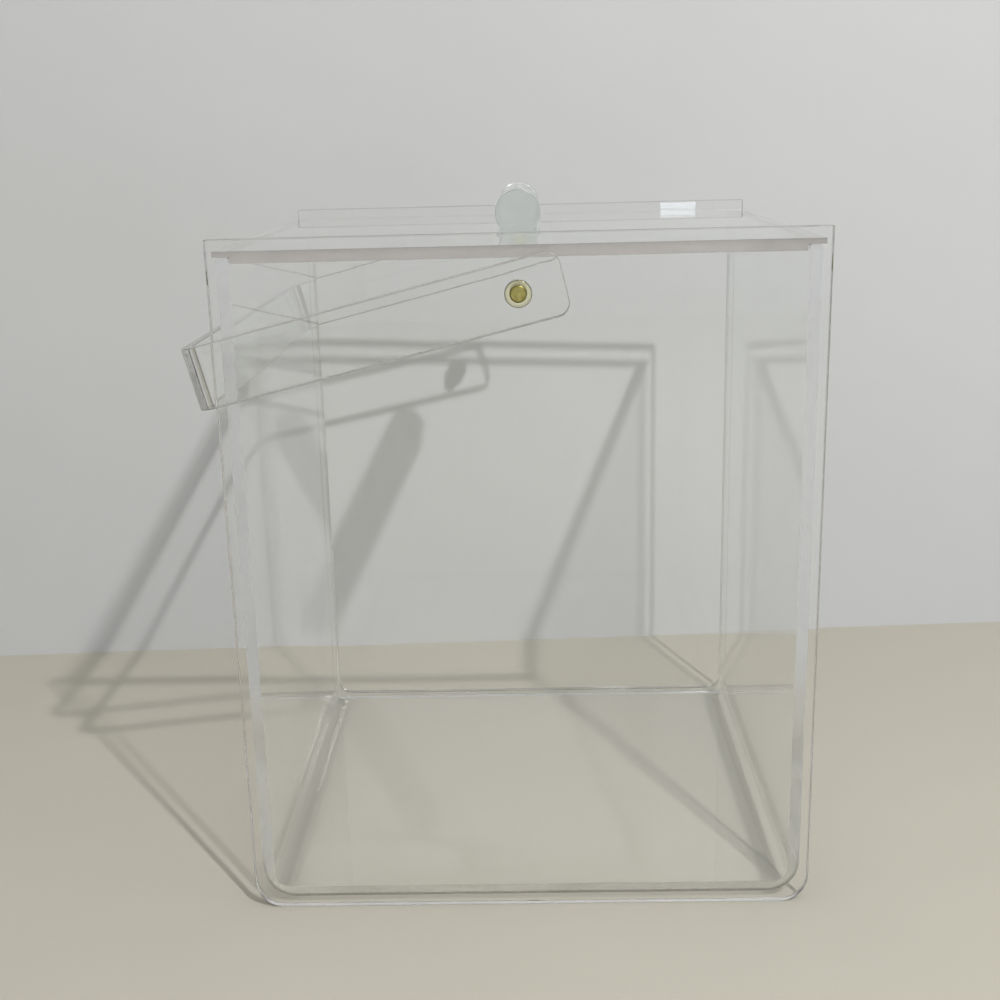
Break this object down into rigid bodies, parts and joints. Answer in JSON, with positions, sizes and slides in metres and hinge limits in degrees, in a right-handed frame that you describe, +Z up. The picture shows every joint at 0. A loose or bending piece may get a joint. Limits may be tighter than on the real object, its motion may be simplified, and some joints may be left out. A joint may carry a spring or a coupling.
{
  "type": "lidded box with swing handle",
  "caption": "Clear acrylic open-topped box of bent sheet between two flat panels, with a lift-off lid that has a round bar for its knob, and a flat U-shaped handle that swings over the top.",
  "frame": {"origin": "on the surface that the box stands on, under the middle of the box", "axes": "+X to the right, away from the side where the handle hangs; +Y from the front panel to the back panel; +Z up"},
  "size_m": [0.2104, 0.1964, 0.2516],
  "materials": {
    "clear_sheet": "clear cast acrylic, polished",
    "clear_knob": "clear acrylic round bar, ends polished",
    "clear_handle": "clear acrylic strip, bent and polished",
    "brass_pin": "satin brass",
    "clear_bushing": "clear acrylic tube, polished"
  },
  "bodies": {
    "box": {"front_panel": "clear_sheet", "back_panel": "clear_sheet", "body_wrap": "clear_sheet", "front_pivot_pin": "brass_pin", "back_pivot_pin": "brass_pin", "front_pivot_bushing": "clear_bushing", "back_pivot_bushing": "clear_bushing"},
    "lid": {"lid_plate": "clear_sheet", "lid_knob": "clear_knob"},
    "handle": {"handle": "clear_handle"}
  },
  "joints": [
    {"name": "lid_lift", "type": "slide", "parent": "box", "child": "lid", "axis": [0, 0, 1], "range_m": [0, 0.06]},
    {"name": "handle_swing", "type": "hinge", "parent": "box", "child": "handle", "pos_m": [0, 0, 0.2213], "axis": [0, 1, 0], "range_deg": [0, 207.43]}
  ]
}
